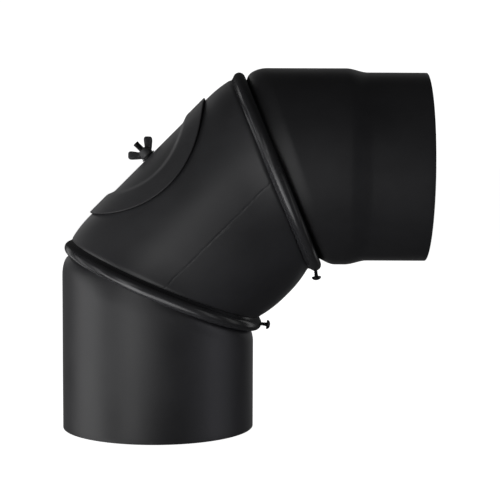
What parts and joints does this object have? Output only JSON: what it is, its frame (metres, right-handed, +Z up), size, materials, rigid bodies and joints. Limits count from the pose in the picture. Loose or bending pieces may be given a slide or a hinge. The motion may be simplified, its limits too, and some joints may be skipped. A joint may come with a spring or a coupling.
{
  "type": "flue elbow",
  "caption": "Adjustable sheet-steel flue elbow in three segments on swivel rings, socket inlet, spigot outlet, cleaning hatch held by a wing nut.",
  "frame": {"origin": "middle of the footprint, on the plane of the inlet rim; the inlet axis is the vertical line 68.2 mm towards -X", "axes": "+Z up, away from the inlet rim; +X out of the outlet spigot; Y across the bend"},
  "size_m": [0.2894, 0.1696, 0.2873],
  "materials": {
    "stove_paint": "satin heat-resistant black",
    "hatch_paint": "satin heat-resistant black",
    "ring_paint": "satin heat-resistant black",
    "black_steel": "black oxide",
    "raw_steel": "bare mill finish",
    "sealing_fibre": "glass-fibre cord and paper"
  },
  "bodies": {
    "inlet": {"inlet_pipe": "stove_paint"},
    "middle": {"middle_pipe": "stove_paint", "lower_swivel_ring": "ring_paint", "upper_swivel_ring": "ring_paint", "lower_joint_seal": "sealing_fibre", "upper_joint_seal": "sealing_fibre"},
    "outlet": {"outlet_pipe": "stove_paint"},
    "hatch": {"hatch_cover": "hatch_paint", "hatch_gasket": "sealing_fibre", "hatch_washer": "black_steel"},
    "wing_nut": {"wing_nut": "black_steel"},
    "clamp": {"clamp_bridge": "raw_steel", "clamp_bolt": "black_steel"},
    "lower_screw": {"lower_locking_screw": "black_steel"},
    "upper_screw": {"upper_locking_screw": "black_steel"}
  },
  "joints": [
    {"name": "lower_swivel", "type": "hinge", "parent": "inlet", "child": "middle", "pos_m": [-0.06383, 0, 0.1142], "axis": [0.3827, 0, 0.9239], "continuous": true},
    {"name": "upper_swivel", "type": "hinge", "parent": "middle", "child": "outlet", "pos_m": [0.02697, 0, 0.205], "axis": [0.9239, 0, 0.3827], "continuous": true},
    {"name": "hatch_lift", "type": "slide", "parent": "middle", "child": "hatch", "axis": [-0.7071, 0, 0.7071], "range_m": [0, 0.0064]},
    {"name": "wing_nut_turn", "type": "hinge", "parent": "hatch", "child": "wing_nut", "pos_m": [-0.02033, 0, 0.1615], "axis": [-0.7071, 0, 0.7071], "range_deg": [0, 2880]},
    {"name": "bridge_turn", "type": "hinge", "parent": "middle", "child": "clamp", "pos_m": [-0.02033, 0, 0.1615], "axis": [-0.7071, 0, 0.7071], "range_deg": [0, 90]},
    {"name": "lower_screw_turn", "type": "hinge", "parent": "middle", "child": "lower_screw", "pos_m": [0.01008, 0, 0.08359], "axis": [0.9914, 0, -0.1305], "range_deg": [0, 1080]},
    {"name": "upper_screw_turn", "type": "hinge", "parent": "middle", "child": "upper_screw", "pos_m": [0.05758, 0, 0.13109], "axis": [0.1305, 0, -0.9914], "range_deg": [0, 1080]}
  ],
  "couplings": [
    {"joint": "wing_nut_turn", "follows": "hatch_lift", "rad_per_m": 7854}
  ]
}
